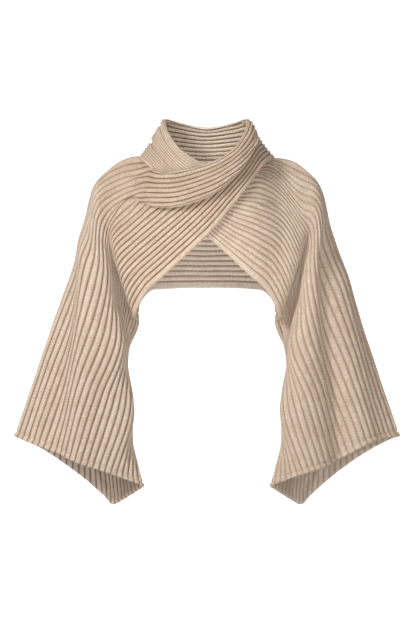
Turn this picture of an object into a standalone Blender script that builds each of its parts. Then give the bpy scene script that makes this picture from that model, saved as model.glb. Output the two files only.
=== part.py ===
"""A chunky rib knit wrap bolero with bell sleeves, kept in its hollow worn form.

The wearer faces -Y, with their right side at -X and +Z up. The origin is at the base of the neck, level
with where the cloth lies on the shoulders. Sizes in the tables are millimetres, and the tables give the
outer skin between the ribs. Each table starts from the wearer's right side, the collar's from the left,
and the other side mirrors it.
"""

from collections import namedtuple

import bmesh
import bpy
import numpy as np

MM = 0.001

# Driving sizes of the cloth, in millimetres.
WALL = 3.2           # plain knit between two ribs
RIB_HEIGHT = 2.2     # how far a full rib stands out from it
FULL_PITCH = 8.0     # ribs packed closer than this stand out less
PANEL_RIBS = 25      # ribs on each front, on the back and on each half of a sleeve
COLLAR_RIBS = 11
SEAM_GAP = 0.8

# Where each piece has a section across its ribs, in millimetres along the ribs.
SLEEVE_STEPS = (0, 18, 38, 62, 95, 140, 190, 245, 305, 365, 420)
FRONT_STEPS = (0, 14, 30, 52, 78, 102, 122, 144, 168, 192, 216, 240, 264, 290, 315, 340, 365, 390, 415, 445)
BACK_STEPS = (0, 22, 48, 80, 120, 165, 210, 255, 300, 340, 372, 398, 420)
COLLAR_STEPS = (0, 20, 42, 66, 90, 115, 140, 164, 188, 210, 230)

SAMPLES = 8              # points a rib when a section is worked out
SIDE_POINTS = 121        # points along each side of a sleeve ring before it is softened
RING_POINTS = 480
SLEEVE_TO_FRONT = 40     # from the armhole to the first section of a front or of the back
SLEEVE_GHOST = 1         # the sleeve ring that sets the slope at the armhole

# A sleeve ring has three corners: the outer one, the front inner one and the lower back one.
# seam is how far from the front corner to the back one the underarm rib lies, and softness how widely
# the corners are rounded.
Ring = namedtuple("Ring", "at outer front back front_belly inner_belly back_belly back_rise seam softness")
SLEEVE_RINGS = (
    Ring(0, (-208, 0, -30), (-195, -54, -138), (-128, 8, -316), 24, 9, 60, 0, 1.00, 15),
    Ring(85, (-239, 0, -130), (-186, -66, -232), (-148, 24, -372), 30, 0, 56, 0, 0.90, 13),
    Ring(190, (-279, 0, -255), (-160, -66, -356), (-156, 44, -456), 32, 0, 47, 2, 0.65, 11),
    Ring(295, (-321, 0, -379), (-140, -60, -478), (-164, 58, -554), 32, 0, 36, 8, 0.45, 9),
    Ring(420, (-373, 0, -529), (-118, -46, -623), (-181, 68, -666), 28, 0, 24, 19, 0.28, 8),
)
FRONT_BELLY_WAY = (-0.25, -0.97, 0.0)
BACK_BELLY_WAY = (-0.25, 0.97, 0.0)
UP = (0.0, 0.0, 1.0)
INNER_SKEW = 0.6     # puts the inner side's belly nearer its front corner
BACK_FULLNESS = 0.75     # below 1, the back of a sleeve rounds out close to its corners

# A fold runs across the ribs from one rib and place to another. height is below 0 for a trough.
Fold = namedtuple("Fold", "rib_from rib_to at_from at_to width height")
SLEEVE_FOLDS = {
    "sleeve_right": (
        Fold(3.0, 13.5, 60, 420, 2.8, 9),
        Fold(1.5, 8.0, 110, 420, 2.4, -8),
        Fold(36.0, 33.0, 90, 420, 3.0, -9),
        Fold(42.0, 40.0, 120, 420, 3.0, 7),
    ),
    "sleeve_left": (
        Fold(4.0, 13.0, 50, 420, 2.3, -12),
        Fold(13.0, 18.0, 190, 420, 2.6, 6),
        Fold(2.0, 8.0, 120, 420, 2.6, 6),
        Fold(38.0, 36.0, 90, 420, 3.0, -10),
    ),
}
FOLD_FADE = 60     # millimetres over which a fold begins

# A section of a front, from its upper edge to its lower edge. The upper ribs of a front roll outwards to a
# lip: lip is where along the section, swag how far it stands out, roll the share of ribs above it and
# hidden the share tucked away under it.
Section = namedtuple("Section", "at top low belly lip swag roll hidden")
NECK_SIDE = ((84, -9, 77), (131, -20, 7))
NECK_SEAM = ((76, 26, 80), (128, 31, 6))
PAST_NECK_SEAM = ((50, 55, 74), (95, 72, 1))
FRONT_OVER = (
    Section(40, (-172, -1, -5), (-139, -48, -298), 49, 0.31, 0, 0.36, 0.00),
    Section(90, (-120, -6, 2), (-113, -80, -248), 42, 0.33, 6, 0.36, 0.13),
    Section(112, (-105, -51, -15), (-97, -90, -233), 30, 0.31, 11, 0.36, 0.20),
    Section(140, (-96, -80, -24), (-80, -100, -218), 22, 0.32, 15, 0.36, 0.24),
    Section(190, (-60, -99, -25), (-40, -114, -181), 14, 0.40, 17, 0.36, 0.34),
    Section(240, (-15, -97, -15), (5, -124, -139), 11, 0.50, 17, 0.36, 0.42),
    Section(290, (25, -92, 0), (45, -119, -92), 8, 0.56, 16, 0.34, 0.48),
    Section(335, (56, -76, 23), (82, -99, -47), 7, 0.54, 13, 0.28, 0.52),
    Section(375, (77, -46, 54), (112, -66, -8), 4, 0.42, 8, 0.20, 0.56),
    Section(410, *NECK_SIDE, -3, 0.30, 3, 0.14, 0.60),
    Section(445, *NECK_SEAM, -3, 0.28, 0, 0.14, 0.60),
    Section(495, *PAST_NECK_SEAM, 2, 0.28, 0, 0.14, 0.60),
)
FRONT_UNDER = (
    Section(40, (-172, -1, -5), (-139, -48, -298), 49, 0.31, 0, 0.36, 0.00),
    Section(90, (-121, -6, 2), (-113, -80, -248), 42, 0.34, 0, 0.36, 0.06),
    Section(140, (-88, -60, -11), (-80, -98, -218), 29, 0.37, 3, 0.36, 0.18),
    Section(190, (-50, -78, -18), (-40, -108, -181), 17, 0.40, 4, 0.36, 0.26),
    Section(240, (-12, -84, -14), (5, -113, -139), 12, 0.40, 3, 0.34, 0.34),
    Section(290, (25, -82, 0), (45, -104, -92), 8, 0.38, 3, 0.30, 0.42),
    Section(335, (56, -68, 23), (80, -84, -45), 5, 0.36, 3, 0.28, 0.48),
    Section(375, (77, -42, 54), (110, -55, -9), 2, 0.36, 3, 0.26, 0.52),
    Section(410, *NECK_SIDE, -3, 0.36, 3, 0.26, 0.52),
    Section(445, *NECK_SEAM, -3, 0.36, 0, 0.26, 0.52),
    Section(495, *PAST_NECK_SEAM, 2, 0.36, 0, 0.26, 0.52),
)
RIDGE_ENDS = 90        # the upper edge lies on the shoulder ridge up to here
RIDGE_BLEND = 12
RIDGE_RIBS = 2         # how many ribs from the ridge the walls are turned upright over
RIDGE_GAP = 0.8
LIP_WIDTH = 10.0
EDGE_STAND = 0.25      # share of the swag by which the upper edge stands out
TUCK = 12.0            # cloth along the section that holds the hidden ribs
TUCK_FULL = 0.1        # share of hidden ribs from which the tuck has its full size
TUCK_LEAST = 0.000001

PlainSection = namedtuple("PlainSection", "at top low belly")
BACK_SECTIONS = (
    PlainSection(40, (-172, 1, -5), (-133, 52, -276), 46),
    PlainSection(80, (-142, 3, 1), (-108, 78, -247), 46),
    PlainSection(102, (-121, 4, 3), (-92, 84, -245), 40),
    PlainSection(135, (-95, 57, 7), (-62, 91, -243), 27),
    PlainSection(172, (-50, 83, 5), (-31, 95, -242), 20),
    PlainSection(210, (0, 94, 3), (0, 97, -242), 16),
)
COLLAR_SECTIONS = (
    PlainSection(-35, *NECK_SIDE, -3),
    PlainSection(0, *NECK_SEAM, -3),
    PlainSection(50, *PAST_NECK_SEAM, 2),
    PlainSection(115, (0, 70, 66), (0, 102, -4), 3),
)
BACK_LENGTH = 420
COLLAR_LENGTH = 230
VALLEY_REACH = 45      # how far from the armhole the ribs are lowered
VALLEY_FIRST_RIB = 7
VALLEY_BLEND = 4
VALLEY_LOSS = 0.8
UNDERARM_TRIM = 8.0    # the front and the back stop this far short of the underarm point
TORSO_MIDDLE = np.array((0.0, 0.0, -120.0))
NECK_MIDDLE = np.array((0.0, 0.0, 0.0))
SLOPE_STEP = 0.5       # how far apart points are taken to find the direction of the ribs

SHARP_ANGLE = 30
KNIT_ROUGHNESS = 0.92
KNIT_COLOURS = {
    "back": (0.560, 0.435, 0.330),
    "front_over": (0.600, 0.470, 0.360),
    "front_under": (0.585, 0.455, 0.348),
    "collar": (0.550, 0.425, 0.322),
    "sleeve_right": (0.610, 0.480, 0.370),
    "sleeve_left": (0.575, 0.450, 0.342),
}


def through_rows(knots, rows, at):
    """Pass a smooth curve through rows of points and read it at each place in at."""
    knots = np.asarray(knots, float)
    rows = np.asarray(rows, float)
    steps = np.diff(knots)
    slopes = np.diff(rows, axis=0) / steps.reshape((-1,) + (1,) * (rows.ndim - 1))
    tangents = np.empty_like(rows)
    tangents[0] = slopes[0]
    tangents[-1] = slopes[-1]
    for i in range(1, len(knots) - 1):
        share = steps[i] / (steps[i - 1] + steps[i])
        tangents[i] = share * slopes[i - 1] + (1.0 - share) * slopes[i]
    result = []
    for place in at:
        i = int(np.clip(np.searchsorted(knots, place) - 1, 0, len(knots) - 2))
        t = (place - knots[i]) / steps[i]
        result.append(
            (2 * t**3 - 3 * t**2 + 1) * rows[i]
            + (t**3 - 2 * t**2 + t) * steps[i] * tangents[i]
            + (3 * t**2 - 2 * t**3) * rows[i + 1]
            + (t**3 - t**2) * steps[i] * tangents[i + 1]
        )
    return np.array(result)


def length_along(points):
    gaps = np.linalg.norm(np.diff(points, axis=0), axis=1)
    return np.concatenate(([0.0], np.cumsum(gaps)))


def read_along(points, lengths, places):
    return np.stack([np.interp(places, lengths, points[:, axis]) for axis in range(3)], axis=1)


def sleeve_ring(row):
    """Give one ring of a sleeve, evenly to each rib, from its outer corner round by the front."""
    outer, front, back = (np.array(corner, float) for corner in (row.outer, row.front, row.back))
    share = np.linspace(0.0, 1.0, SIDE_POINTS)[:, None]
    bulge = np.sin(np.pi * share)
    front_side = outer + (front - outer) * share + bulge * row.front_belly * np.array(FRONT_BELLY_WAY)
    inner_bulge = np.sin(np.pi * share**INNER_SKEW)
    inner_side = front + (back - front) * share + inner_bulge * row.inner_belly * np.array(FRONT_BELLY_WAY)
    back_bulge = row.back_belly * np.array(BACK_BELLY_WAY) + row.back_rise * np.array(UP)
    back_side = back + (outer - back) * share + bulge**BACK_FULLNESS * back_bulge
    loop = np.concatenate((front_side, inner_side[1:], back_side[1:]))
    lengths = length_along(loop)
    at_front = length_along(front_side)[-1]
    at_seam = at_front + row.seam * length_along(inner_side)[-1]
    even = np.linspace(0.0, lengths[-1], RING_POINTS, endpoint=False)
    points = read_along(loop, lengths, even)
    spacing = lengths[-1] / RING_POINTS
    for _ in range(int(2 * (row.softness / spacing) ** 2)):
        points = 0.25 * np.roll(points, 1, axis=0) + 0.5 * points + 0.25 * np.roll(points, -1, axis=0)
    closed = np.vstack((points, points[:1]))
    count = PANEL_RIBS * SAMPLES + 1
    places = np.concatenate((
        np.linspace(0.0, at_seam, count),
        np.linspace(at_seam, lengths[-1], count)[1:],
    ))
    return read_along(closed, np.append(even, lengths[-1]), places)


def outward_ways(tops, lows):
    """Give the outward direction at the middle of each section of a piece."""
    middles = 0.5 * (tops + lows)
    ways = np.cross(np.gradient(middles, axis=0), lows - tops)
    ways /= np.linalg.norm(ways, axis=1, keepdims=True)
    facing = np.sign(np.sum(ways[:, :2] * middles[:, :2], axis=1))
    return ways * facing[:, None]


def plain_curves(rows, ribs):
    tops = np.array([row.top for row in rows], float)
    lows = np.array([row.low for row in rows], float)
    ways = outward_ways(tops, lows)
    share = np.linspace(0.0, 1.0, ribs * SAMPLES + 1)[:, None]
    curves = []
    for row, top, low, way in zip(rows, tops, lows, ways):
        curves.append(top + (low - top) * share + np.sin(np.pi * share) * row.belly * way)
    return curves


def front_curves(rows):
    """Give each section of a front, with its ribs rolled out to the lip and tucked away under it."""
    tops = np.array([row.top for row in rows], float)
    lows = np.array([row.low for row in rows], float)
    ways = outward_ways(tops, lows)
    ribs = np.linspace(0.0, 1.0, PANEL_RIBS * SAMPLES + 1)
    curves = []
    for row, top, low, way in zip(rows, tops, lows, ways):
        size = np.linalg.norm(low - top)
        tucked = min(1.0, row.hidden / TUCK_FULL) * TUCK / size
        marks = (0.0, row.roll, row.roll + row.hidden + TUCK_LEAST, 1.0)
        share = np.interp(ribs, marks, (0.0, row.lip, row.lip + tucked, 1.0))
        rise = EDGE_STAND + (1.0 - EDGE_STAND) * np.sin(0.5 * np.pi * np.clip(share / row.lip, 0.0, 1.0))
        fall = np.exp(-((np.clip(share - row.lip, 0.0, 1.0) * size / LIP_WIDTH) ** 2))
        out = np.sin(np.pi * share) * row.belly + row.swag * rise * fall
        curves.append(top + (low - top) * share[:, None] + out[:, None] * way)
    return curves


def surface(knots, curves, steps):
    """Give the points of a piece at each step along its ribs, and the direction of its ribs there."""
    points = through_rows(knots, curves, steps)
    ahead = through_rows(knots, curves, steps + SLOPE_STEP)
    behind = through_rows(knots, curves, steps - SLOPE_STEP)
    return points, ahead - behind


def normals_of(grid, along, centre):
    ways = np.cross(along, np.gradient(grid, axis=1))
    ways /= np.linalg.norm(ways, axis=2, keepdims=True)
    facing = np.sum(ways * (grid - centre))
    return ways if facing > 0 else -ways


def pull_back_underarm(field, steps, width):
    """Shorten the last rib of a front or of the back where it nears the underarm point."""
    first = field.shape[1] - 1 - SAMPLES
    for i, step in enumerate(steps):
        near = np.clip(1.0 - step / SLEEVE_TO_FRONT, 0.0, 1.0)
        places = np.arange(SAMPLES + 1) * (1.0 - near * UNDERARM_TRIM / width[i])
        field[i, first:] = read_along(field[i, first:], np.arange(SAMPLES + 1), places)


def last_rib_widths(grid):
    return np.linalg.norm(grid[:, -1] - grid[:, -1 - SAMPLES], axis=1)


def trimmed(steps, first, last):
    steps = np.array(steps, float)
    steps[0] += first
    steps[-1] -= last
    return steps


def add_folds(grid, ways, steps, folds):
    """Move a sleeve's surface out along its ridges and in along its troughs."""
    ribs = np.arange(grid.shape[1]) / SAMPLES
    for fold in folds:
        run = np.clip((steps - fold.at_from) / (fold.at_to - fold.at_from), 0.0, 1.0)
        fade = np.clip((steps - fold.at_from) / FOLD_FADE, 0.0, 1.0)
        middle = fold.rib_from + (fold.rib_to - fold.rib_from) * run
        shape = np.exp(-(((ribs[None, :] - middle[:, None]) / fold.width) ** 2))
        grid = grid + ways * (fold.height * fade[:, None] * shape)[:, :, None]
    return grid


def valley_fade(from_armhole, ribs):
    """Lower the ribs in the deep valley between a front and its sleeve, so that its sides stay apart."""
    near = np.clip(1.0 - from_armhole / VALLEY_REACH, 0.0, 1.0)
    in_valley = np.clip((np.arange(ribs) - VALLEY_FIRST_RIB) / VALLEY_BLEND, 0.0, 1.0)
    in_valley *= np.arange(ribs) < PANEL_RIBS + 1
    return 1.0 - VALLEY_LOSS * near[:, None] * in_valley[None, :]


def wall_skins(grid, ways, ribs, fade=1.0):
    """Give the ribbed outer skin, two points a rib, and the plain inner skin, one point a rib."""
    half = SAMPLES // 2
    outer = grid[:, ::half].copy()
    widths = np.linalg.norm(outer[:, 2::2] - outer[:, :-2:2], axis=2)
    raise_by = RIB_HEIGHT * fade * np.clip(widths / FULL_PITCH, 0.0, 1.0)
    outer[:, 1::2] += ways[:, half::SAMPLES][:, :ribs] * raise_by[:, :, None]
    inner = grid[:, ::SAMPLES] - ways[:, ::SAMPLES] * WALL
    return outer, inner


def new_knit(name):
    knit = bpy.data.materials.new(name + "_knit")
    knit.use_nodes = True
    shader = knit.node_tree.nodes["Principled BSDF"]
    shader.inputs["Base Color"].default_value = KNIT_COLOURS[name] + (1.0,)
    shader.inputs["Roughness"].default_value = KNIT_ROUGHNESS
    shader.inputs["Metallic"].default_value = 0.0
    return knit


def build_wall(name, outer, inner, closed, mirrored, collection):
    """Loft a closed wall between an outer skin and an inner skin that has half as many points across."""
    turn = np.array((-1.0 if mirrored else 1.0, 1.0, 1.0)) * MM
    mesh = bpy.data.meshes.new(name)
    work = bmesh.new()
    outside = [[work.verts.new(point * turn) for point in row] for row in outer]
    inside = [[work.verts.new(point * turn) for point in row] for row in inner]
    if closed:
        for row in outside + inside:
            row.append(row[0])
    last = len(outside) - 1
    ribs = len(inside[0]) - 1
    for i in range(last):
        for j in range(2 * ribs):
            work.faces.new((outside[i][j], outside[i + 1][j], outside[i + 1][j + 1], outside[i][j + 1]))
        for j in range(ribs):
            work.faces.new((inside[i][j], inside[i][j + 1], inside[i + 1][j + 1], inside[i + 1][j]))
        if not closed:
            work.faces.new((outside[i][0], inside[i][0], inside[i + 1][0], outside[i + 1][0]))
            work.faces.new((outside[i][-1], outside[i + 1][-1], inside[i + 1][-1], inside[i][-1]))
    for i in (0, last):
        for j in range(ribs):
            rim = outside[i][2 * j:2 * j + 3] + [inside[i][j + 1], inside[i][j]]
            work.faces.new(rim if i == 0 else rim[::-1])
    bmesh.ops.triangulate(work, faces=work.faces[:])
    if work.calc_volume(signed=True) < 0.0:
        bmesh.ops.reverse_faces(work, faces=work.faces[:])
    work.to_mesh(mesh)
    work.free()
    mesh.materials.append(new_knit(name))
    mesh.shade_smooth()
    mesh.set_sharp_from_angle(angle=np.radians(SHARP_ANGLE))
    piece = bpy.data.objects.new(name, mesh)
    collection.objects.link(piece)


def flatten_ridge(ways, steps):
    """Turn the walls upright where a front and the back meet on the shoulder ridge."""
    upright = ways[:, :1].copy()
    upright[:, :, 1] = 0.0
    upright /= np.linalg.norm(upright, axis=2, keepdims=True)
    near = np.clip(1.0 - np.arange(ways.shape[1]) / (RIDGE_RIBS * SAMPLES), 0.0, 1.0)
    along = np.clip((RIDGE_ENDS - steps) / RIDGE_BLEND, 0.0, 1.0)
    blend = (along[:, None] * near[None, :])[:, :, None]
    mixed = ways * (1.0 - blend) + upright * blend
    return mixed / np.linalg.norm(mixed, axis=2, keepdims=True)


def make_sleeve(name, front_rows, mirrored, collection, rings):
    steps = trimmed(SLEEVE_STEPS, 0.5 * SEAM_GAP, 0.0)
    front = front_curves(front_rows)[0]
    back = plain_curves(BACK_SECTIONS, PANEL_RIBS)[0]
    before = np.concatenate((front, back[-2::-1]))
    knots = [-SLEEVE_TO_FRONT] + [row.at for row in SLEEVE_RINGS]
    grid, along = surface(knots, [before] + rings, steps)
    ways = normals_of(grid, along, grid.mean(axis=1, keepdims=True))
    seam = ways[:, 0] + ways[:, -1]
    ways[:, 0] = ways[:, -1] = seam / np.linalg.norm(seam, axis=1, keepdims=True)
    grid = add_folds(grid, ways, steps, SLEEVE_FOLDS[name])
    outer, inner = wall_skins(grid, ways, 2 * PANEL_RIBS, valley_fade(steps, 2 * PANEL_RIBS))
    build_wall(name, outer[:, :-1], inner[:, :-1], True, mirrored, collection)


def make_front(name, rows, mirrored, collection, rings):
    half = PANEL_RIBS * SAMPLES + 1
    knots = [-SLEEVE_RINGS[SLEEVE_GHOST].at, 0] + [row.at for row in rows]
    curves = [rings[SLEEVE_GHOST][:half], rings[0][:half]] + front_curves(rows)
    steps = trimmed(FRONT_STEPS, 0.5 * SEAM_GAP, 0.5 * SEAM_GAP)
    grid, along = surface(knots, curves, steps)
    ways = flatten_ridge(normals_of(grid, along, TORSO_MIDDLE), steps)
    width = last_rib_widths(grid)
    for field in (grid, ways):
        pull_back_underarm(field, steps, width)
    grid[:, 0, 1] -= 0.5 * RIDGE_GAP
    outer, inner = wall_skins(grid, ways, PANEL_RIBS, valley_fade(steps, PANEL_RIBS))
    build_wall(name, outer, inner, False, mirrored, collection)


def both_sides(rows, length):
    """Follow the sections of one side, the last on the middle line, with the same ones mirrored."""
    return rows + tuple(
        row._replace(
            at=length - row.at,
            top=(-row.top[0],) + row.top[1:],
            low=(-row.low[0],) + row.low[1:],
        )
        for row in rows[-2::-1]
    )


def make_back(collection, rings):
    first = PANEL_RIBS * SAMPLES
    rows = both_sides(BACK_SECTIONS, BACK_LENGTH)
    right = [ring[first:][::-1] for ring in (rings[SLEEVE_GHOST], rings[0])]
    left = [curve * np.array((-1.0, 1.0, 1.0)) for curve in reversed(right)]
    before = [-SLEEVE_RINGS[SLEEVE_GHOST].at, 0]
    knots = before + [row.at for row in rows] + [BACK_LENGTH - knot for knot in reversed(before)]
    steps = trimmed(BACK_STEPS, 0.5 * SEAM_GAP, 0.5 * SEAM_GAP)
    grid, along = surface(knots, right + plain_curves(rows, PANEL_RIBS) + left, steps)
    from_armhole = np.minimum(steps, BACK_LENGTH - steps)
    ways = flatten_ridge(normals_of(grid, along, TORSO_MIDDLE), from_armhole)
    width = last_rib_widths(grid)
    for field in (grid, ways):
        pull_back_underarm(field, from_armhole, width)
    grid[:, 0, 1] += 0.5 * RIDGE_GAP
    outer, inner = wall_skins(grid, ways, PANEL_RIBS)
    build_wall("back", outer, inner, False, False, collection)


def make_collar(collection):
    rows = both_sides(COLLAR_SECTIONS, COLLAR_LENGTH)
    steps = trimmed(COLLAR_STEPS, 0.5 * SEAM_GAP, 0.5 * SEAM_GAP)
    grid, along = surface([row.at for row in rows], plain_curves(rows, COLLAR_RIBS), steps)
    ways = normals_of(grid, along, NECK_MIDDLE)
    outer, inner = wall_skins(grid, ways, COLLAR_RIBS)
    build_wall("collar", outer, inner, False, False, collection)


def main():
    for item in list(bpy.data.objects):
        bpy.data.objects.remove(item, do_unlink=True)
    collection = bpy.data.collections.new("knit_bolero")
    bpy.context.scene.collection.children.link(collection)
    rings = [sleeve_ring(row) for row in SLEEVE_RINGS]
    make_back(collection, rings)
    make_front("front_over", FRONT_OVER, False, collection, rings)
    make_front("front_under", FRONT_UNDER, True, collection, rings)
    make_collar(collection)
    make_sleeve("sleeve_right", FRONT_OVER, False, collection, rings)
    make_sleeve("sleeve_left", FRONT_UNDER, True, collection, rings)


main()
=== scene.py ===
import math

import bmesh
import bpy
import numpy as np
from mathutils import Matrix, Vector


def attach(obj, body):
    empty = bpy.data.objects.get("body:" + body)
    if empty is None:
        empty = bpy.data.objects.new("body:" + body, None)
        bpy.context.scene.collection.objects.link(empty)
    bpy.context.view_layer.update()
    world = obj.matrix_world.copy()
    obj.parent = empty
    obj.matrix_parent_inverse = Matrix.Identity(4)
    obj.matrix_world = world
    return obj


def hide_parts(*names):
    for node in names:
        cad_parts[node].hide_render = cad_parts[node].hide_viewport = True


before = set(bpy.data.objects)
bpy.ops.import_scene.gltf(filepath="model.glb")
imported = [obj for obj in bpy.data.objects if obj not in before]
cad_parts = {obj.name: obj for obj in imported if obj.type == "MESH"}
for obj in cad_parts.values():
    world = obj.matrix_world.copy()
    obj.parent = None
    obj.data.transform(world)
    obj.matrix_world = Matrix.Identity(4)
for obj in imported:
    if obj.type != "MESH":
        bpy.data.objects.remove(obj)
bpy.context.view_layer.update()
print("frame in:", ", ".join(sorted(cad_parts)))

mm = 0.001

# camera at the photo's angle, far off so that it hardly converges
photo = {
    "image": (416, 624),
    "neck": (207, 160),  # the pixel of the frame's origin
    "mmPerPixel": 1.92,
    "distance": 8.0,
    "sensor": 36.0,
}


def placeCamera(look):
    pixel = look["mmPerPixel"] * mm
    data = bpy.data.cameras.new("photoCamera")
    data.sensor_width = look["sensor"]
    data.lens = look["sensor"] * look["distance"] / (look["image"][1] * pixel)
    data.clip_end = 100.0
    camera = bpy.data.objects.new("photoCamera", data)
    camera.location = (
        (0.5 * look["image"][0] - look["neck"][0]) * pixel,
        -look["distance"],
        (look["neck"][1] - 0.5 * look["image"][1]) * pixel,
    )
    camera.rotation_euler = (0.5 * math.pi, 0.0, 0.0)
    bpy.context.scene.collection.objects.link(camera)
    bpy.context.scene.camera = camera


placeCamera(photo)
print("camera placed")


# node maths: a wire wraps a socket, and paint makes any node
class Wire:
    def __init__(self, paint, socket):
        self.paint = paint
        self.socket = socket

    def maths(self, operation, first, second=0.0):
        node = self.paint.node("ShaderNodeMath", {"operation": operation}, {0: first, 1: second})
        return Wire(self.paint, node.outputs[0])

    def __add__(self, other):
        return self.maths("ADD", self, other)

    __radd__ = __add__

    def __sub__(self, other):
        return self.maths("SUBTRACT", self, other)

    def __rsub__(self, other):
        return self.maths("SUBTRACT", other, self)

    def __mul__(self, other):
        return self.maths("MULTIPLY", self, other)

    __rmul__ = __mul__

    def __abs__(self):
        return self.maths("ABSOLUTE", self)

    def part(self):
        return self.maths("FRACT", self)

    def whole(self):
        return self.maths("FLOOR", self)

    def sine(self):
        return self.maths("SINE", self)


class Paint:
    def __init__(self, name):
        self.material = bpy.data.materials.new(name)
        self.material.use_nodes = True
        self.tree = self.material.node_tree
        self.shader = self.tree.nodes["Principled BSDF"]

    def node(self, kind, settings=None, sockets=None):
        made = self.tree.nodes.new(kind)
        for key, value in (settings or {}).items():
            setattr(made, key, value)
        for key, value in (sockets or {}).items():
            self.feed(made.inputs[key], value)
        return made

    def feed(self, socket, value):
        if isinstance(value, Wire):
            self.tree.links.new(value.socket, socket)
        else:
            socket.default_value = value

    def wire(self, kind, settings=None, sockets=None, output=0):
        return Wire(self, self.node(kind, settings, sockets).outputs[output])

    def split(self, vector):
        made = self.node("ShaderNodeSeparateXYZ", sockets={0: vector})
        return [Wire(self, output) for output in made.outputs]

    def noise(self, place, scale, detail, roughness):
        sockets = {"Vector": place, "Scale": scale, "Detail": detail, "Roughness": roughness}
        return self.wire("ShaderNodeTexNoise", {}, sockets)

    def over(self, value, span):
        # from 0 to 1 over a span in millimetres
        return self.remap(value, span[0] * mm, span[1] * mm)

    def remap(self, value, low, high):
        return self.wire(
            "ShaderNodeMapRange",
            {"interpolation_type": "SMOOTHSTEP"},
            {"Value": value, "From Min": low, "From Max": high},
        )

    def blend(self, share, first, second):
        # the colour sockets of a mix node are its seventh and eighth
        made = self.node("ShaderNodeMix", {"data_type": "RGBA"}, {0: share, 6: first, 7: second})
        return Wire(self, made.outputs[2])


# where the cloth is pulled over a shoulder, in millimetres out from the middle and up from the neck
shoulder = {"side": (100.0, 160.0), "height": (-160.0, -50.0), "shadeLost": 0.5, "reliefLost": 0.35}

yarn = {
    "light": (0.830, 0.722, 0.620, 1.0),
    "dark": (0.520, 0.378, 0.270, 1.0),
    # the colour of the painted shade laid into the grooves between ribs
    "paintedGrooveShade": (0.225, 0.128, 0.066, 1.0),
    "fleck": (0.340, 0.216, 0.132, 1.0),
    "stitchMm": 5.1,
    # noise: scale, detail, roughness
    "cloud": (48.0, 2.0, 0.5),
    "tuft": (260.0, 2.0, 0.6),
    "fibre": (760.0, 3.0, 0.7),
    "speck": (430.0, 1.0, 0.5),
    "toneShares": (0.5, 1.1, 1.2, 0.14, 0.14),  # of cloud, tuft, fibre, rib and stitch
    "bumpShares": (0.35, 0.7, 0.7),  # of stitch, tuft and fibre
    "fleckFrom": (0.60, 0.74),
    "fleckShare": 0.45,
    "grooveShadeFrom": 0.48,
    "grooveShadeRagged": 0.5,
    "behind": (-10.0, 70.0),  # millimetres back from the neck, over which painted light makes the yarn paler
    "paintedLightBehindShare": 0.36,
    "roughness": 0.95,
    "gloss": 0.2,
    "sheen": 0.15,
    "sheenRoughness": 0.45,
    "sheenTint": (1.0, 0.94, 0.88, 1.0),
    "bump": 0.0012,
    "bumpStrength": 0.8,
}


def ribKnit(name, look, paintedLightLift, shade):
    # lift makes a piece's yarn lighter or darker as painted light or shade for that piece, and shade is how dark
    # the painted shade in its grooves is
    paint = Paint(name)
    uv = paint.wire("ShaderNodeUVMap", {"uv_map": "ribs"}, output="UV")
    across, row = paint.split(uv)[:2]
    place = paint.wire("ShaderNodeTexCoord", output="Object")
    side, depth, height = paint.split(place)
    stretched = paint.over(abs(side), shoulder["side"]) * paint.over(height, shoulder["height"])
    # painted light: the yarn is made paler towards the back, where the cloth lies in shade
    behind = paint.over(depth, look["behind"])
    fromTop = abs(across.part() - 0.5) * 2.0  # 0 on a ridge, 1 in a groove
    ribShade = paint.wire("ShaderNodeTexWhiteNoise", {"noise_dimensions": "1D"}, {"W": across.whole()})
    stitch = ((row + fromTop * 0.5 + ribShade) * (2.0 * math.pi)).sine() * 0.5 + 0.5
    cloud, tuft, fibre, speck = (paint.noise(place, *look[kind]) for kind in ("cloud", "tuft", "fibre", "speck"))
    # painted shade: the grooves between ribs are darkened as if shaded, most at a groove's bottom
    paintedGrooveShade = paint.remap(fromTop + (tuft - 0.5) * look["grooveShadeRagged"], look["grooveShadeFrom"], 1.0)
    # painted light and shade: each piece's yarn is made lighter or darker by its own amount, standing for how
    # much light reaches it
    tone = 0.5 + paintedLightLift + look["paintedLightBehindShare"] * behind
    for field, share in zip((cloud, tuft, fibre, ribShade, stitch), look["toneShares"]):
        tone = tone + (field - 0.5) * share
    tone = paint.wire("ShaderNodeClamp", {}, {"Value": tone})
    colour = paint.blend(tone, look["dark"], look["light"])
    flecks = paint.remap(speck, *look["fleckFrom"]) * look["fleckShare"]
    colour = paint.blend(flecks, colour, look["fleck"])
    # how much painted groove shade a piece gets, less over the shoulders
    shaded = paintedGrooveShade * (shade - shoulder["shadeLost"] * shade * stretched)
    colour = paint.blend(shaded, colour, look["paintedGrooveShade"])
    ofStitch, ofTuft, ofFibre = look["bumpShares"]
    relief = stitch * ofStitch + tuft * ofTuft + fibre * ofFibre
    sockets = {"Strength": look["bumpStrength"], "Distance": look["bump"], "Height": relief}
    bump = paint.wire("ShaderNodeBump", {}, sockets, output="Normal")
    shader = paint.shader
    paint.feed(shader.inputs["Base Color"], colour)
    paint.feed(shader.inputs["Normal"], bump)
    shader.inputs["Roughness"].default_value = look["roughness"]
    shader.inputs["Specular IOR Level"].default_value = look["gloss"]
    shader.inputs["Sheen Weight"].default_value = look["sheen"]
    shader.inputs["Sheen Roughness"].default_value = look["sheenRoughness"]
    shader.inputs["Sheen Tint"].default_value = look["sheenTint"]
    return paint.material


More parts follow.
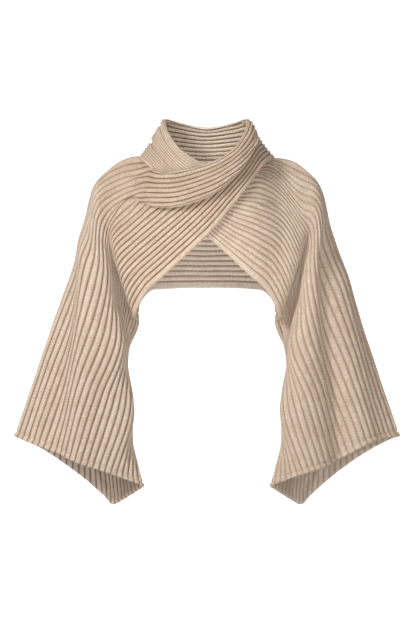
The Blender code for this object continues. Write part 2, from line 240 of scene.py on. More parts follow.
# how one rib of the knit is made, in millimetres
rib = {
    "at": np.array((0.0, 0.1, 0.3, 0.5, 0.7, 0.9)),  # points across it
    "top": 2.5,
    "foot": -0.9,
    "fullness": 2.1,
    "insideTop": 4.4,
    "insideFoot": 2.2,
    "fullWidth": 8.0,  # narrower ribs stand less
    "uneven": 0.11,
    "waves": (9.0, 16.0),  # shortest and longest, along the rib
    "waveShare": 0.6,
    "sway": 0.45,
    "sways": (7.0, 13.0),
    "anyTurn": 6.3,  # a wave starts anywhere in about one turn
    "stitch": 0.28,
    "stepMm": 1.7,
    "insideEvery": 4,  # a sleeve's hidden face has one row for so many outside
    "rim": (1.45, 1.15, 0.75, 0.35),  # turns of a rolled edge, from its tip
}

panelRibs = 25
mirrorX = np.array((-1.0, 1.0, 1.0))
bodyMiddle = np.array((0.0, 0.0, -120.0))  # the panels face away from here


def ribColumns(edges):
    edges = np.asarray(edges, float)
    places = (edges[:-1, None] + np.diff(edges)[:, None] * rib["at"]).ravel()
    counts = (np.arange(len(edges) - 1)[:, None] + rib["at"]).ravel()
    return np.append(places, edges[-1]), np.append(counts, len(edges) - 1.0)


def throughRows(knots, rows, at):
    knots, rows, at = np.asarray(knots, float), np.asarray(rows, float), np.asarray(at, float)
    gaps = np.diff(knots)
    wide = (-1,) + (1,) * (rows.ndim - 1)
    slopes = np.diff(rows, axis=0) / gaps.reshape(wide)
    ways = np.empty_like(rows)
    ways[0], ways[-1] = slopes[0], slopes[-1]
    share = (gaps[1:] / (gaps[:-1] + gaps[1:])).reshape(wide)
    ways[1:-1] = share * slopes[:-1] + (1.0 - share) * slopes[1:]
    i = np.clip(np.searchsorted(knots, at) - 1, 0, len(knots) - 2)
    t = ((at - knots[i]) / gaps[i]).reshape(wide)
    gap = gaps[i].reshape(wide)
    return (
        (2 * t**3 - 3 * t**2 + 1) * rows[i]
        + (t**3 - 2 * t**2 + t) * gap * ways[i]
        + (3 * t**2 - 2 * t**3) * rows[i + 1]
        + (t**3 - t**2) * gap * ways[i + 1]
    )


def lengthAlong(points):
    return np.append(0.0, np.cumsum(np.linalg.norm(np.diff(points, axis=0), axis=1)))


def readAlong(points, lengths, places):
    return np.stack([np.interp(places, lengths, points[:, axis]) for axis in range(3)], axis=1)


def unit(field):
    return field / np.maximum(np.linalg.norm(field, axis=-1, keepdims=True), 1e-9)


def clothSurface(knots, curves, steps, middle=None):
    # points of the cloth and the way out of it, both at every step and column
    grid = throughRows(knots, curves, steps)
    along = throughRows(knots, curves, steps + 0.5) - throughRows(knots, curves, steps - 0.5)
    ways = unit(np.cross(along, np.gradient(grid, axis=1)))
    middle = grid.mean(axis=1, keepdims=True) if middle is None else middle
    return grid, ways if np.sum(ways * (grid - middle)) > 0.0 else -ways


def smooth(value):
    value = np.clip(value, 0.0, 1.0)
    return value * value * (3.0 - 2.0 * value)


def between(value, low, high):
    return smooth((value - low) / (high - low))


def evenSteps(length):
    return np.linspace(0.0, length, int(length / rib["stepMm"]) + 1)


def addFolds(grid, ways, steps, ribAt, folds, fade, around=None):
    # each fold crosses the ribs from one place to another, above 0 a ridge and below 0 a trough
    for ribFrom, ribTo, start, end, width, height in folds:
        run = np.clip((steps - start) / (end - start), 0.0, 1.0)[:, None]
        depth = smooth((steps - start) / fade)
        if end < steps[-1]:
            depth = depth * smooth((end - steps) / fade)
        off = ribAt[None, :] - ribFrom - (ribTo - ribFrom) * run
        if around:
            off = (off + 0.5 * around) % around - 0.5 * around
        grid = grid + ways * (height * depth[:, None] * np.exp(-((off / width) ** 2)))[:, :, None]
    return grid


def knitSkins(grid, ways, steps, counts, seed, heights=1.0, thick=0.0, wall=1.0):
    # ridges and stitches on both faces, a little uneven from rib to rib; thick keeps an edge rib whole
    luck = np.random.default_rng(seed)
    per = len(rib["at"])
    ribs = (grid.shape[1] - 1) // per
    widths = np.linalg.norm(np.diff(grid[:, ::per], axis=1), axis=2)
    full = np.clip(widths / rib["fullWidth"], 0.0, 1.0)
    turn = rib["anyTurn"]
    sway = np.sin(steps[:, None] / luck.uniform(*rib["sways"], ribs) + luck.uniform(0.0, turn, ribs))
    waves = np.sin(steps[:, None] / luck.uniform(*rib["waves"], ribs) + luck.uniform(0.0, turn, ribs))
    full = full * (1.0 + rib["uneven"] * (luck.uniform(-1.0, 1.0, ribs) + rib["waveShare"] * waves))
    begin = np.broadcast_to(luck.uniform(0.0, 1.0, ribs), full.shape)
    sway, full, begin = (
        np.concatenate((np.repeat(field, per, axis=1), field[:, -1:]), axis=1)
        for field in (sway, full, begin)
    )
    fromTop = np.abs(2.0 * (counts % 1.0) - 1.0)
    shape = 1.0 - fromTop[None, :] ** rib["fullness"]
    middle = shape * np.clip(widths.mean() / rib["fullWidth"], 0.0, 1.0)
    stretched = between(np.abs(grid[:, :, 0]), *shoulder["side"]) * between(grid[:, :, 2], *shoulder["height"])
    shape = np.maximum(shape, thick) * full * heights * (1.0 - shoulder["reliefLost"] * stretched)
    knots = np.sin(2.0 * np.pi * (steps[:, None] / yarn["stitchMm"] + 0.5 * fromTop[None, :] + begin))
    knots = knots * rib["stitch"] * shape
    across = unit(np.gradient(grid, axis=1)) * (sway * middle * rib["sway"])[:, :, None]
    outer = grid + across + ways * (rib["foot"] + (rib["top"] - rib["foot"]) * shape + knots)[:, :, None]
    depth = (rib["insideFoot"] + (rib["insideTop"] - rib["insideFoot"]) * shape) * wall
    inner = grid + across - ways * depth[:, :, None]
    return outer, inner


def rollEdge(outer, inner, last=False, fade=1.0):
    # carries both skins round the first or last column until they nearly meet
    if last:
        outer, inner = outer[:, ::-1], inner[:, ::-1]
    middle = 0.5 * (outer[:, :1] + inner[:, :1])
    half = outer[:, :1] - middle
    away = unit(middle - 0.5 * (outer[:, 2:3] + inner[:, 2:3])) * np.linalg.norm(half, axis=2, keepdims=True)
    away = away * np.reshape(fade, (-1, 1, 1))
    turns = np.array(rib["rim"])[None, :, None]
    outer = np.concatenate((middle + np.cos(turns) * half + np.sin(turns) * away, outer), axis=1)
    inner = np.concatenate((middle - np.cos(turns) * half + np.sin(turns) * away, inner), axis=1)
    return (outer[:, ::-1], inner[:, ::-1]) if last else (outer, inner)


def rimPlaces(places, first=True, last=True):
    ends = len(rib["rim"])
    places = np.append(np.full(ends, places[0]), places) if first else places
    return np.append(places, np.full(ends, places[-1])) if last else places


def laySkin(mesh, points, uv, counts, steps, closed):
    # a grid of the right size, each corner taken to its place in the cloth
    rows, columns = points.shape[:2]
    made = bmesh.ops.create_grid(mesh, x_segments=columns - 1, y_segments=rows - 1, size=1.0)["verts"]
    spots = {}
    for vert in made:
        i = round(0.5 * (vert.co.y + 1.0) * (rows - 1))
        j = round(0.5 * (vert.co.x + 1.0) * (columns - 1))
        spots[vert] = (i, j)
    faces = {face for vert in made for face in vert.link_faces}
    for face in faces:
        face.smooth = True
        for loop in face.loops:
            i, j = spots[loop.vert]
            loop[uv].uv = (counts[j], steps[i] / yarn["stitchMm"])
    for vert, (i, j) in spots.items():
        vert.co = points[i, j] * mm
    if closed:
        ends = [vert for vert, (i, j) in spots.items() if j in (0, columns - 1)]
        bmesh.ops.remove_doubles(mesh, verts=ends, dist=1e-7)


def borders(mesh):
    # boundary edges in runs that hang together
    left = {edge for edge in mesh.edges if edge.is_boundary}
    runs = []
    while left:
        run, todo = [], [left.pop()]
        while todo:
            edge = todo.pop()
            run.append(edge)
            near = {other for vert in edge.verts for other in vert.link_edges} & left
            left -= near
            todo += near
        runs.append(run)
    return runs


def runMiddle(run):
    return sum((vert.co for edge in run for vert in edge.verts), Vector()) / (2 * len(run))


def sewPiece(name, look, outer, inner, counts, steps, closed=False):
    turn = mirrorX if look.get("mirror") else np.ones(3)
    thin = np.arange(len(steps))
    if closed:
        thin = np.unique(np.append(thin[:: rib["insideEvery"]], thin[-1]))
    mesh = bmesh.new()
    uv = mesh.loops.layers.uv.new("ribs")
    laySkin(mesh, outer * turn, uv, counts, steps, closed)
    laySkin(mesh, inner[thin] * turn, uv, counts, steps[thin], closed)
    for edge in mesh.edges:
        if edge.is_boundary:
            edge.smooth = False
    runs = borders(mesh)
    while runs:
        run = runs.pop()
        middle = runMiddle(run)
        twin = min(runs, key=lambda other: (runMiddle(other) - middle).length)
        runs.remove(twin)
        bmesh.ops.bridge_loops(mesh, edges=run + twin)
    bmesh.ops.recalc_face_normals(mesh, faces=mesh.faces[:])
    data = bpy.data.meshes.new(name)
    mesh.to_mesh(data)
    mesh.free()
    piece = bpy.data.objects.new(name, data)
    bpy.context.scene.collection.objects.link(piece)
    data.materials.append(ribKnit(name + "Yarn", yarn, look["paintedLightLift"], look["shade"]))
    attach(piece, "root")
    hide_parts(look["node"])
    look["node"] + "_knit"
    print("sewn:", name, 2 * len(data.polygons), "triangles")
    return piece


# sleeves: rings from the armhole to the cuff
sleeveCut = {
    # at, outer corner, front corner, back corner, bellies of front, inner and back, rise of the back,
    # the underarm seam's share of the inner side, softness, ribs as far as the front corner
    "rings": (
        (0, (-208, 0, -30), (-195, -54, -138), (-128, 8, -316), (24, 9, 60), 0, 1.00, 15, 8.2),
        (85, (-239, 0, -130), (-186, -66, -232), (-148, 24, -372), (30, -14, 56), 0, 1.02, 13, 9.2),
        (190, (-279, 0, -255), (-160, -66, -356), (-156, 44, -456), (32, -16, 47), 2, 0.98, 11, 13.2),
        (295, (-321, 0, -379), (-140, -60, -478), (-164, 58, -554), (32, -6, 36), 8, 0.66, 9, 18.4),
        (420, (-373, 0, -529), (-118, -46, -623), (-181, 68, -666), (28, 0, 24), 19, 0.14, 8, 24.0),
    ),
    "frontWay": (-0.25, -0.97, 0.0),
    "backWay": (-0.25, 0.97, 0.0),
    "innerSkew": 0.6,
    "backFullness": 0.75,
    "toFront": 40,  # from the armhole to a front's first section
    "length": 420,
    "foldFade": 60,
    "hem": 2.5,
    "hemReach": 110,
    "sidePoints": 161,
    "ringPoints": 480,
}


def sleeveRing(row, ribAt):
    at, outer, front, back, bellies, rise, underarm, softness, frontRibs = row
    outer, front, back = (np.array(corner, float) for corner in (outer, front, back))
    share = np.linspace(0.0, 1.0, sleeveCut["sidePoints"])[:, None]
    swell = np.sin(np.pi * share)
    frontWay, backWay = np.array(sleeveCut["frontWay"]), np.array(sleeveCut["backWay"])
    frontSide = outer + (front - outer) * share + swell * bellies[0] * frontWay
    skewed = np.sin(np.pi * share ** sleeveCut["innerSkew"])
    innerSide = front + (back - front) * share + skewed * bellies[1] * frontWay
    backOut = bellies[2] * backWay + np.array((0.0, 0.0, rise))
    backSide = back + (outer - back) * share + swell ** sleeveCut["backFullness"] * backOut
    loop = np.concatenate((frontSide, innerSide[1:], backSide[1:]))
    lengths = lengthAlong(loop)
    atFront = lengthAlong(frontSide)[-1]
    atSeam = atFront + underarm * lengthAlong(innerSide)[-1]
    many = sleeveCut["ringPoints"]
    even = np.linspace(0.0, lengths[-1], many, endpoint=False)
    points = readAlong(loop, lengths, even)
    for _ in range(int(2 * (softness * many / lengths[-1]) ** 2)):
        points = 0.25 * np.roll(points, 1, axis=0) + 0.5 * points + 0.25 * np.roll(points, -1, axis=0)
    ribKnots = (0.0, frontRibs, panelRibs, 2.0 * panelRibs)
    places = np.interp(ribAt, ribKnots, (0.0, atFront, atSeam, lengths[-1]))
    return readAlong(np.vstack((points, points[:1])), np.append(even, lengths[-1]), places)


def outwardWays(tops, lows):
    middles = 0.5 * (tops + lows)
    ways = unit(np.cross(np.gradient(middles, axis=0), lows - tops))
    facing = np.sign(np.sum(ways[:, :2] * middles[:, :2], axis=1))
    return ways * facing[:, None]


curl = {"radius": 4.6, "ribs": 3.0, "wall": 0.45, "wallReach": 1.2}


def curlOver(points, ribAt, curled, way, up):
    # the first ribs turn over the upper edge to the inside
    radius = curl["radius"] * min(1.0, curled / curl["ribs"])
    turn = np.pi * np.clip(1.0 - ribAt / max(curled, 1e-6), 0.0, 1.0)[:, None]
    return points + radius * ((np.cos(turn) - 1.0) * way + np.sin(turn) * up)


def thinCurl(curled, counts):
    # the wall is thinner where it turns over
    return 1.0 - (1.0 - curl["wall"]) * smooth(curl["wallReach"] * curled + 0.5 - counts)


def wholeEdge(counts, ribs):
    # 1 on the lower edge's half rib
    return np.where(counts > ribs - 0.5, 1.0, 0.0)[None, :]


def plainCurves(rows, ribAt, ribs, curled=0.0):
    tops, lows = (np.array([row[k] for row in rows], float) for k in (1, 2))
    ways = outwardWays(tops, lows)
    share = np.clip((ribAt - curled) / (ribs - curled), 0.0, 1.0)[:, None]
    curves = []
    for row, top, low, way in zip(rows, tops, lows, ways):
        up = unit(top - low)
        start = top - up * curl["radius"] * min(1.0, curled / curl["ribs"])
        points = start + (low - start) * share + np.sin(np.pi * share) * row[3] * way
        curves.append(curlOver(points, ribAt, curled, way, up))
    return curves


def edgeDistance(points, edge):
    # from each point to a line through the edge's corners, as seen from the front
    flat, starts, runs = points[:, None, ::2], edge[:-1, ::2], np.diff(edge[:, ::2], axis=0)
    share = np.clip(np.sum((flat - starts) * runs, axis=2) / np.sum(runs * runs, axis=1), 0.0, 1.0)
    return np.linalg.norm(flat - starts - share[:, :, None] * runs, axis=2).min(axis=1)


# the lip's roll: hidden ribs that fold it fully, drops above and below, how far the top edge stands out
roll = {"foldRibs": 5.5, "drops": (0.30, 0.85), "stand": 0.25, "fade": 14.0}
pleat = {"ribs": 5.0, "tuck": 5.0, "sink": 5.0, "width": 5.0}


def frontCurves(rows, ribAt, soft=False):
    # above the lip the ribs roll outwards, the hidden ones turn under it and the rest come out below;
    # a soft front has its hidden ribs squeezed into a pleat instead
    tops, lows = (np.array([row[k] for row in rows], float) for k in (1, 2))
    ways = outwardWays(tops, lows)
    reach = frontCut["levelReach"]  # the edge is carried on past the armhole
    levelEdge = np.vstack(((1.0 + reach) * lows[1] - reach * lows[3], lows[1:]))
    curves = []
    for row, top, low, way in zip(rows, tops, lows, ways):
        belly, lip, swag, curled, rolled, hidden = row[3:]
        up = unit(top - low)
        top = top - up * curl["radius"] * min(1.0, curled / curl["ribs"])
        size = np.linalg.norm(low - top)
        face = np.clip((ribAt - curled) / (rolled - curled), 0.0, 1.0)
        under = np.clip((ribAt - rolled) / max(hidden, 1e-6), 0.0, 1.0)
        below = np.clip((ribAt - rolled - hidden) / (panelRibs - rolled - hidden), 0.0, 1.0)
        if not soft and frontCut["level"][0] <= row[0] <= frontCut["level"][1]:
            # spaced by their distance from the lower edge
            trial = np.linspace(0.0, 1.0, frontCut["levelTrials"])
            sunk = lip + (1.0 - lip) * trial
            place = top + (low - top) * sunk[:, None] + (np.sin(np.pi * sunk) * belly)[:, None] * way
            apart = edgeDistance(place, levelEdge)
            below = np.where(below > 0.0, np.interp(-(1.0 - below) * apart[0], -apart, trial), 0.0)
        pleated = min(1.0, hidden / pleat["ribs"]) if soft else 0.0
        tuck = pleat["tuck"] * pleated / size
        down = lip * face + tuck * under + (1.0 - lip - tuck) * below
        fold = 0.0 if soft else smooth(hidden / roll["foldRibs"])
        turn = 2.0 * np.pi * under
        drop = np.where(under <= 0.5, *roll["drops"]) * fold * swag * np.sin(turn) / size
        stand = roll["stand"] + (1.0 - roll["stand"]) * np.sin(0.5 * np.pi * face)
        stand = stand - fold * (0.5 - 0.5 * np.cos(0.5 * turn))
        stand = np.where(below > 0.0, (1.0 - fold) * np.exp(-((below * size / roll["fade"]) ** 2)), stand)
        sink = pleat["sink"] * pleated
        sink = sink * np.exp(-(((down - lip - 0.5 * tuck) * size / pleat["width"]) ** 2))
        out = np.sin(np.pi * np.clip(down, 0.0, 1.0)) * belly + swag * stand - sink
        points = top + (low - top) * (down + drop)[:, None] + out[:, None] * way
        curves.append(curlOver(points, ribAt, curled, way, up))
    return curves


# fronts: sections from the armhole round to the neck, on the wearer's right
overNeck = (((80, -9, 77), (126, -20, 5)), ((73, 26, 80), (125, 31, 4)), ((49, 55, 74), (94, 72, 0)))
underNeck = (((84, -9, 77), (129, -20, 4)), ((76, 26, 80), (127, 31, 3)), ((50, 55, 74), (95, 72, 0)))
frontOver = {
    "node": "front_over",
    # each piece's lift is painted light or shade of its yarn, and its shade the strength of its painted groove
    # shade
    "paintedLightLift": -0.18,
    "shade": 1.0,
    "seed": 11,
    # at, top, low, belly, lip, swag, then ribs: curled over the edge, down to the lip, hidden under it
    "sections": (
        (40, (-172, -1, -5), (-139, -48, -298), 49, 0.31, 0, 0, 7.0, 0),
        (90, (-120, -6, 4), (-113, -80, -248), 42, 0.33, 2, 0, 7.1, 1.8),
        (112, (-105, -51, -11), (-97, -90, -233), 30, 0.31, 7, 2, 8.5, 2.3),
        (140, (-96, -80, -24), (-80, -100, -218), 22, 0.32, 13, 3, 9.4, 3.4),
        (190, (-60, -99, -25), (-40, -114, -181), 14, 0.40, 17, 3, 9.5, 6.4),
        (240, (-15, -97, -15), (5, -124, -139), 11, 0.50, 17, 3, 9.5, 9.3),
        (290, (25, -92, 0), (45, -119, -92), 8, 0.56, 16, 3, 9.0, 11.5),
        (335, (55, -76, 23), (80, -99, -47), 7, 0.54, 13, 3, 8.0, 12.5),
        (375, (74, -46, 54), (108, -66, -9), 4, 0.42, 8, 3, 6.5, 13.5),
        (410, *overNeck[0], -3, 0.30, 3, 3, 6.0, 12.0),
        (445, *overNeck[1], -3, 0.28, 0, 3, 6.0, 12.0),
        (495, *overNeck[2], 2, 0.28, 0, 3, 6.0, 12.0),
    ),
    # from rib, to rib, from and to along the ribs, width in ribs, height
    "folds": (
        (2.4, 3.6, 60, 116, 0.7, -4.5),
        (3.4, 4.8, 64, 120, 0.8, 3.5),
        (4.4, 6.2, 68, 140, 0.7, -4.0),
        (5.8, 5.4, 330, 430, 0.5, -3.5),
    ),
    "flat": (0.255, 0.445),
}
frontUnder = {
    "node": "front_under",
    "mirror": True,
    "soft": True,
    "paintedLightLift": -0.06,
    "shade": 0.52,
    "seed": 12,
    "sections": (
        (40, (-172, -1, -5), (-139, -48, -298), 49, 0.31, 0, 0, 6.0, 0),
        (90, (-121, -6, 4), (-113, -80, -248), 42, 0.05, 0, 0, 3.0, 0),
        (140, (-88, -60, -11), (-80, -98, -218), 29, 0.09, 0, 0, 7.4, 0),
        (190, (-50, -78, -18), (-40, -108, -181), 17, 0.40, 0, 0, 13.6, 0),
        (240, (-12, -84, -14), (5, -113, -139), 12, 0.53, 0, 1, 16, 0),
        (290, (25, -82, 0), (45, -104, -92), 8, 0.50, 3, 3, 10.5, 8),
        (335, (56, -68, 23), (80, -84, -46), 5, 0.50, 3, 3, 10.5, 8.5),
        (375, (77, -42, 54), (110, -57, -13), 2, 0.52, 3, 3, 10.5, 8.5),
        (410, *underNeck[0], -3, 0.52, 3, 3, 10.5, 8.5),
        (445, *underNeck[1], -3, 0.52, 0, 3, 10.5, 8.5),
        (495, *underNeck[2], 2, 0.52, 0, 3, 10.5, 8.5),
    ),
    "folds": (
        (5.0, 4.5, 300, 440, 0.7, -3.5),
        (10.4, 12.2, 80, 166, 0.7, -4.5),
        (10.8, 13.3, 80, 166, 0.8, 4.0),
        (11.2, 14.4, 80, 166, 0.7, -4.5),
    ),
    "flat": (0.245, 0.445),
}
frontCut = {
    "length": 445,
    "foldFade": 26,
    "band": 0.95,  # the lower edge's width in ribs, and how much of a rib's height it has
    "bandHeight": 0.55,
    "bandFade": 60.0,
    "bare": 0.2,  # of the last rib, left without shade
    "edgeFade": 26,
    "underarmRibs": 2.0,
    "level": (90, 290),  # sections with ribs level with the lower edge
    "levelReach": 1.5,
    "levelTrials": 60,
}


def meetUnderarm(ways, ribAt, toArmhole, turn=1.0):
    # near the underarm a panel's edge faces the way that the sleeve's does
    ring = sleeveRing(sleeveCut["rings"][0], np.linspace(0.0, 2.0 * panelRibs, 4 * panelRibs + 1))
    corner = unit(ring[2 * panelRibs] - ring.mean(axis=0)) * turn
    ribs = frontCut["underarmRibs"]
    lowest = smooth((ribAt - panelRibs + ribs) / ribs)
    nearest = smooth(1.0 - toArmhole / frontCut["edgeFade"])
    share = lowest[None, :] * nearest[:, None]
    return unit(ways + (corner - ways) * share[:, :, None])


def frontGrid(look):
    edges = np.arange(panelRibs + 1.0)
    edges[-2] -= frontCut["band"] - 1.0  # the lower edge is a flat band
    ribAt, counts = ribColumns(edges)
    rings = [sleeveRing(sleeveCut["rings"][k], ribAt) for k in (1, 0)]
    curves = rings + frontCurves(look["sections"], ribAt, look.get("soft", False))
    knots = [-sleeveCut["rings"][1][0], 0] + [row[0] for row in look["sections"]]
    steps = evenSteps(frontCut["length"])
    grid, ways = clothSurface(knots, curves, steps, bodyMiddle)
    ways = meetUnderarm(ways, ribAt, steps)
    return addFolds(grid, ways, steps, ribAt, look["folds"], frontCut["foldFade"]), ways, steps, counts


def cutFront(name, look):
    grid, ways, steps, counts = frontGrid(look)
    curled = np.interp(steps, [row[0] for row in look["sections"]], [row[6] for row in look["sections"]])
    wall = thinCurl(curled[:, None], counts[None, :])
    band = np.where(counts > panelRibs - 1.0, frontCut["bandHeight"], 0.0)[None, :]
    band = band * smooth(steps / frontCut["bandFade"])[:, None]
    fade = smooth(steps / frontCut["edgeFade"])
    thick = np.maximum(wholeEdge(counts, panelRibs) * fade[:, None], band)
    outer, inner = knitSkins(grid, ways, steps, counts, look["seed"], 1.0, thick, wall)
    outer, inner = rollEdge(*rollEdge(outer, inner, False, fade), True, fade)
    edgeless = np.minimum(rimPlaces(counts), panelRibs - frontCut["bare"])
    piece = sewPiece(name, look, outer, inner, edgeless, steps)


# back: sections to the middle line, then mirrored
backCut = {
    "node": "back",
    "paintedLightLift": -0.06,
    "shade": 0.82,
    "seed": 13,
    # at, top, low, belly
    "sections": (
        (40, (-172, 1, -5), (-133, 52, -276), 46),
        (80, (-142, 3, 2), (-108, 78, -247), 46),
        (102, (-121, 4, 5), (-92, 84, -245), 40),
        (135, (-95, 57, 7), (-62, 91, -243), 27),
        (172, (-50, 83, 5), (-31, 95, -242), 20),
        (210, (0, 94, 3), (0, 97, -242), 16),
    ),
    "length": 420,
    "flat": (0.300, 0.420),
}


def flipX(point):
    return (-point[0], point[1], point[2])


def otherSide(rows, length):
    return tuple((length - row[0], flipX(row[1]), flipX(row[2]), row[3]) for row in rows[::-1])


def cutBack(name, look):
    ribAt, counts = ribColumns(np.arange(panelRibs + 1))
    right = [sleeveRing(sleeveCut["rings"][k], 2.0 * panelRibs - ribAt) for k in (1, 0)]
    left = [curve * mirrorX for curve in right[::-1]]
    rows = look["sections"] + otherSide(look["sections"][:-1], look["length"])
    before = [-sleeveCut["rings"][1][0], 0]
    knots = before + [row[0] for row in rows] + [look["length"] - knot for knot in before[::-1]]
    steps = evenSteps(look["length"])
    curves = right + plainCurves(rows, ribAt, panelRibs) + left
    grid, ways = clothSurface(knots, curves, steps, bodyMiddle)
    ways = meetUnderarm(meetUnderarm(ways, ribAt, steps), ribAt, look["length"] - steps, mirrorX)
    fade = smooth(np.minimum(steps, look["length"] - steps) / frontCut["edgeFade"])
    thick = wholeEdge(counts, panelRibs) * fade[:, None]
    outer, inner = knitSkins(grid, ways, steps, counts, look["seed"], 1.0, thick)
    outer, inner = rollEdge(outer, inner, True, fade)
    edgeless = np.minimum(rimPlaces(counts, first=False), panelRibs - frontCut["bare"])
    piece = sewPiece(name, look, outer, inner, edgeless, steps)


# collar: from the over front's end behind the neck to the under front's
collarCut = {
    "node": "collar",
    "paintedLightLift": -0.10,
    "shade": 1.0,
    "seed": 14,
    "ribs": 11,
    "curled": 2.0,
    "middle": ((0, 70, 66), (0, 102, -4)),
    "bellies": (-3, -3, 2, 3),
    "at": (-35, 0, 50, 115),
    "length": 230,
    "flat": (0.095, 0.250),
}


def cutCollar(name, look):
    ribAt, counts = ribColumns(np.arange(look["ribs"] + 1))
    halves = []
    for neck in (overNeck, underNeck):
        ends = neck + (look["middle"],)
        halves.append(tuple((at, *end, belly) for at, end, belly in zip(look["at"], ends, look["bellies"])))
    rows = halves[0] + otherSide(halves[1][:-1], look["length"])
    steps = evenSteps(look["length"])
    curves = plainCurves(rows, ribAt, look["ribs"], look["curled"])
    grid, ways = clothSurface([row[0] for row in rows], curves, steps, np.zeros(3))
    wall = thinCurl(look["curled"], counts[None, :])
    outer, inner = knitSkins(grid, ways, steps, counts, look["seed"], 1.0, wholeEdge(counts, look["ribs"]), wall)
    outer, inner = rollEdge(*rollEdge(outer, inner), last=True)
    piece = sewPiece(name, look, outer, inner, rimPlaces(counts), steps)


sleeveRight = {
    "node": "sleeve_right",
    "front": frontOver,
    "paintedLightLift": 0.02,
    "shade": 0.86,
    "seed": 15,
    # from rib, to rib, from and to along the sleeve, width in ribs, height
    "folds": (
        (2.4, 12.5, 50, 420, 2.6, 11),
        (0.5, 8.4, 100, 420, 2.3, -11),
        (41.5, 33.6, 320, 420, 0.9, -5),
        (36.0, 34.0, 90, 330, 3.0, -9),
        (42.0, 41.0, 120, 420, 3.0, 7),
    ),
    "hemRise": (),
    "flat": (0.640, 0.420),
}
sleeveLeft = {
    "node": "sleeve_left",
    "front": frontUnder,
    "mirror": True,
    "paintedLightLift": -0.07,
    "shade": 0.50,
    "seed": 16,
    "folds": (
        (3.2, 11.6, 40, 420, 1.9, -19),
        (10.0, 17.0, 130, 420, 2.6, 8),
        (0.6, 6.8, 110, 420, 2.4, 8),
        (41.5, 33.6, 320, 420, 0.9, -5),
        (38.0, 37.0, 90, 330, 3.0, -10),
    ),
    "hemRise": ((6.0, 4.2, 12.0), (13.0, 2.4, -3.0)),  # rib, width in ribs, how far the hem rises
    "flat": (0.640, 0.420),
}


def sleeveGrid(look):
    ribAt, counts = ribColumns(np.arange(2 * panelRibs + 1))
    rings = [sleeveRing(row, ribAt) for row in sleeveCut["rings"]]
    half = len(rib["at"]) * panelRibs + 1
    front = frontCurves(look["front"]["sections"], ribAt[:half])[0]
    back = plainCurves(backCut["sections"], 2.0 * panelRibs - ribAt[half:], panelRibs)[0]
    knots = [-sleeveCut["toFront"]] + [row[0] for row in sleeveCut["rings"]]
    steps = evenSteps(sleeveCut["length"] - sleeveCut["hem"])
    grid, ways = clothSurface(knots, [np.concatenate((front, back))] + rings, steps)
    grid[:, -1] = grid[:, 0]
    seam = unit(ways[:, 0] + ways[:, -1])
    ways[:, 0], ways[:, -1] = seam, seam
    grid = addFolds(grid, ways, steps, ribAt, look["folds"], sleeveCut["foldFade"], 2.0 * panelRibs)
    toHem = smooth(1.0 - (steps[-1] - steps) / sleeveCut["hemReach"])
    for ribMiddle, width, rise in look["hemRise"]:
        grid[:, :, 2] += rise * toHem[:, None] * np.exp(-(((ribAt - ribMiddle) / width) ** 2))[None, :]
    return grid, ways, steps, counts


# the ribs end in a bound-off roll, with a dip above it
bindOff = {"reach": 1.5, "width": 3.4, "bead": 0.95, "dipAt": 5.6, "dipWidth": 2.0, "dip": 0.8}


def cutSleeve(name, look):
    grid, ways, steps, counts = sleeveGrid(look)
    toHem = steps[-1] - steps
    bead = bindOff["bead"] * smooth(bindOff["reach"] - toHem / bindOff["width"])[:, None]
    dip = bindOff["dip"] * np.exp(-(((toHem - bindOff["dipAt"]) / bindOff["dipWidth"]) ** 2))[:, None]
    outer, inner = knitSkins(grid, ways, steps, counts, look["seed"], 1.0 - dip, bead)
    outer, inner = (skin.swapaxes(0, 1) for skin in (outer, inner))
    outer, inner = (skin.swapaxes(0, 1) for skin in rollEdge(outer, inner, last=True))
    steps = rimPlaces(steps, first=False)
    piece = sewPiece(name, look, outer, inner, counts, steps, closed=True)


cutBack("knitBack", backCut)
cutFront("knitFrontOver", frontOver)
cutFront("knitFrontUnder", frontUnder)
cutCollar("knitCollar", collarCut)
cutSleeve("knitSleeveRight", sleeveRight)
cutSleeve("knitSleeveLeft", sleeveLeft)

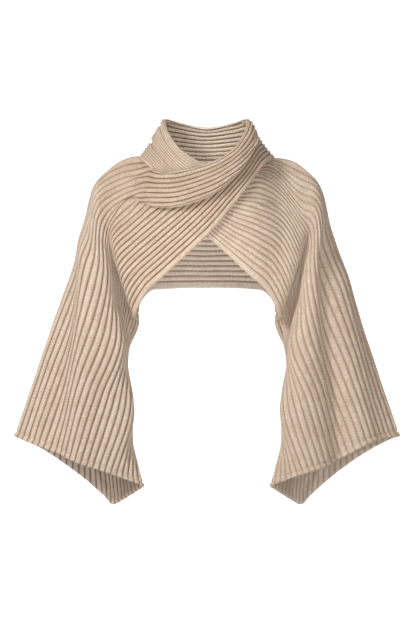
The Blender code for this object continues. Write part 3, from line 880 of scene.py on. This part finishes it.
# studio: a pale floor, a white surround that only the camera sees, and soft lights
studio = {
    "floorDrop": -1.0,
    "floorSize": 1.2,
    "floor": (0.86, 0.86, 0.86, 1.0),
    "surround": 22.0,
    "white": 1.0,
    "ambient": 0.34,
    "air": (1.0, 0.93, 0.86, 1.0),
    # place, aim, size, watts, then the cone of a spot in degrees
    "lights": {
        "keyLight": ((-2.2, -2.6, 1.6), (0.0, 0.0, -0.2), 0.9, 93.0, None),
        "frontLight": ((1.0, -3.3, 0.3), (0.0, 0.0, -0.25), 2.0, 15.0, None),
        "lowLight": ((0.1, -3.0, -1.5), (0.0, 0.0, -0.5), 1.2, 20.0, None),
        "gapLight": ((0.0, -2.4, -1.2), (0.0, 0.09, -0.17), 0.12, 125.0, 10.0),
        "neckLight": ((0.0, -2.4, 1.0), (0.0, 0.07, 0.03), 0.06, 110.0, 4.5),
        "backLight": ((1.2, 3.2, 1.4), (0.0, 0.0, -0.25), 1.6, 40.0, None),
    },
}


def plainPaint(name, colour, glow=0.0):
    paint = Paint(name)
    paint.shader.inputs["Base Color"].default_value = colour
    paint.shader.inputs["Roughness"].default_value = 0.9
    paint.shader.inputs["Emission Color"].default_value = colour
    paint.shader.inputs["Emission Strength"].default_value = glow
    return paint.material


def stageMesh(name, mesh, material):
    data = bpy.data.meshes.new(name)
    mesh.to_mesh(data)
    mesh.free()
    data.materials.append(material)
    item = bpy.data.objects.new(name, data)
    bpy.context.scene.collection.objects.link(item)
    return item


def buildStudio(look):
    mesh = bmesh.new()
    bmesh.ops.create_circle(mesh, cap_ends=True, segments=96, radius=look["floorSize"])
    bmesh.ops.translate(mesh, verts=mesh.verts, vec=(0.0, 0.0, look["floorDrop"]))
    stageMesh("floor", mesh, plainPaint("floorPaint", look["floor"]))
    mesh = bmesh.new()
    bmesh.ops.create_uvsphere(mesh, u_segments=48, v_segments=24, radius=look["surround"])
    bmesh.ops.reverse_faces(mesh, faces=mesh.faces)
    around = stageMesh("surround", mesh, plainPaint("surroundPaint", (1.0, 1.0, 1.0, 1.0), look["white"]))
    around.visible_diffuse = around.visible_glossy = around.visible_shadow = False
    world = bpy.data.worlds.new("studioAir")
    world.use_nodes = True
    sky = world.node_tree.nodes["Background"]
    sky.inputs["Color"].default_value = look["air"]
    sky.inputs["Strength"].default_value = look["ambient"]
    bpy.context.scene.world = world
    for name, (place, aim, size, watts, cone) in look["lights"].items():
        lamp = bpy.data.lights.new(name, "SPOT" if cone else "AREA")
        lamp.energy = watts
        if cone:
            lamp.spot_size, lamp.spot_blend, lamp.shadow_soft_size = math.radians(cone), 1.0, size
        else:
            lamp.size = size
        item = bpy.data.objects.new(name, lamp)
        item.location = place
        item.rotation_euler = (Vector(aim) - Vector(place)).to_track_quat("-Z", "Y").to_euler()
        bpy.context.scene.collection.objects.link(item)


buildStudio(studio)
bpy.context.scene.view_settings.view_transform = "Standard"  # plain colours, as in a catalogue picture
print("studio lit")
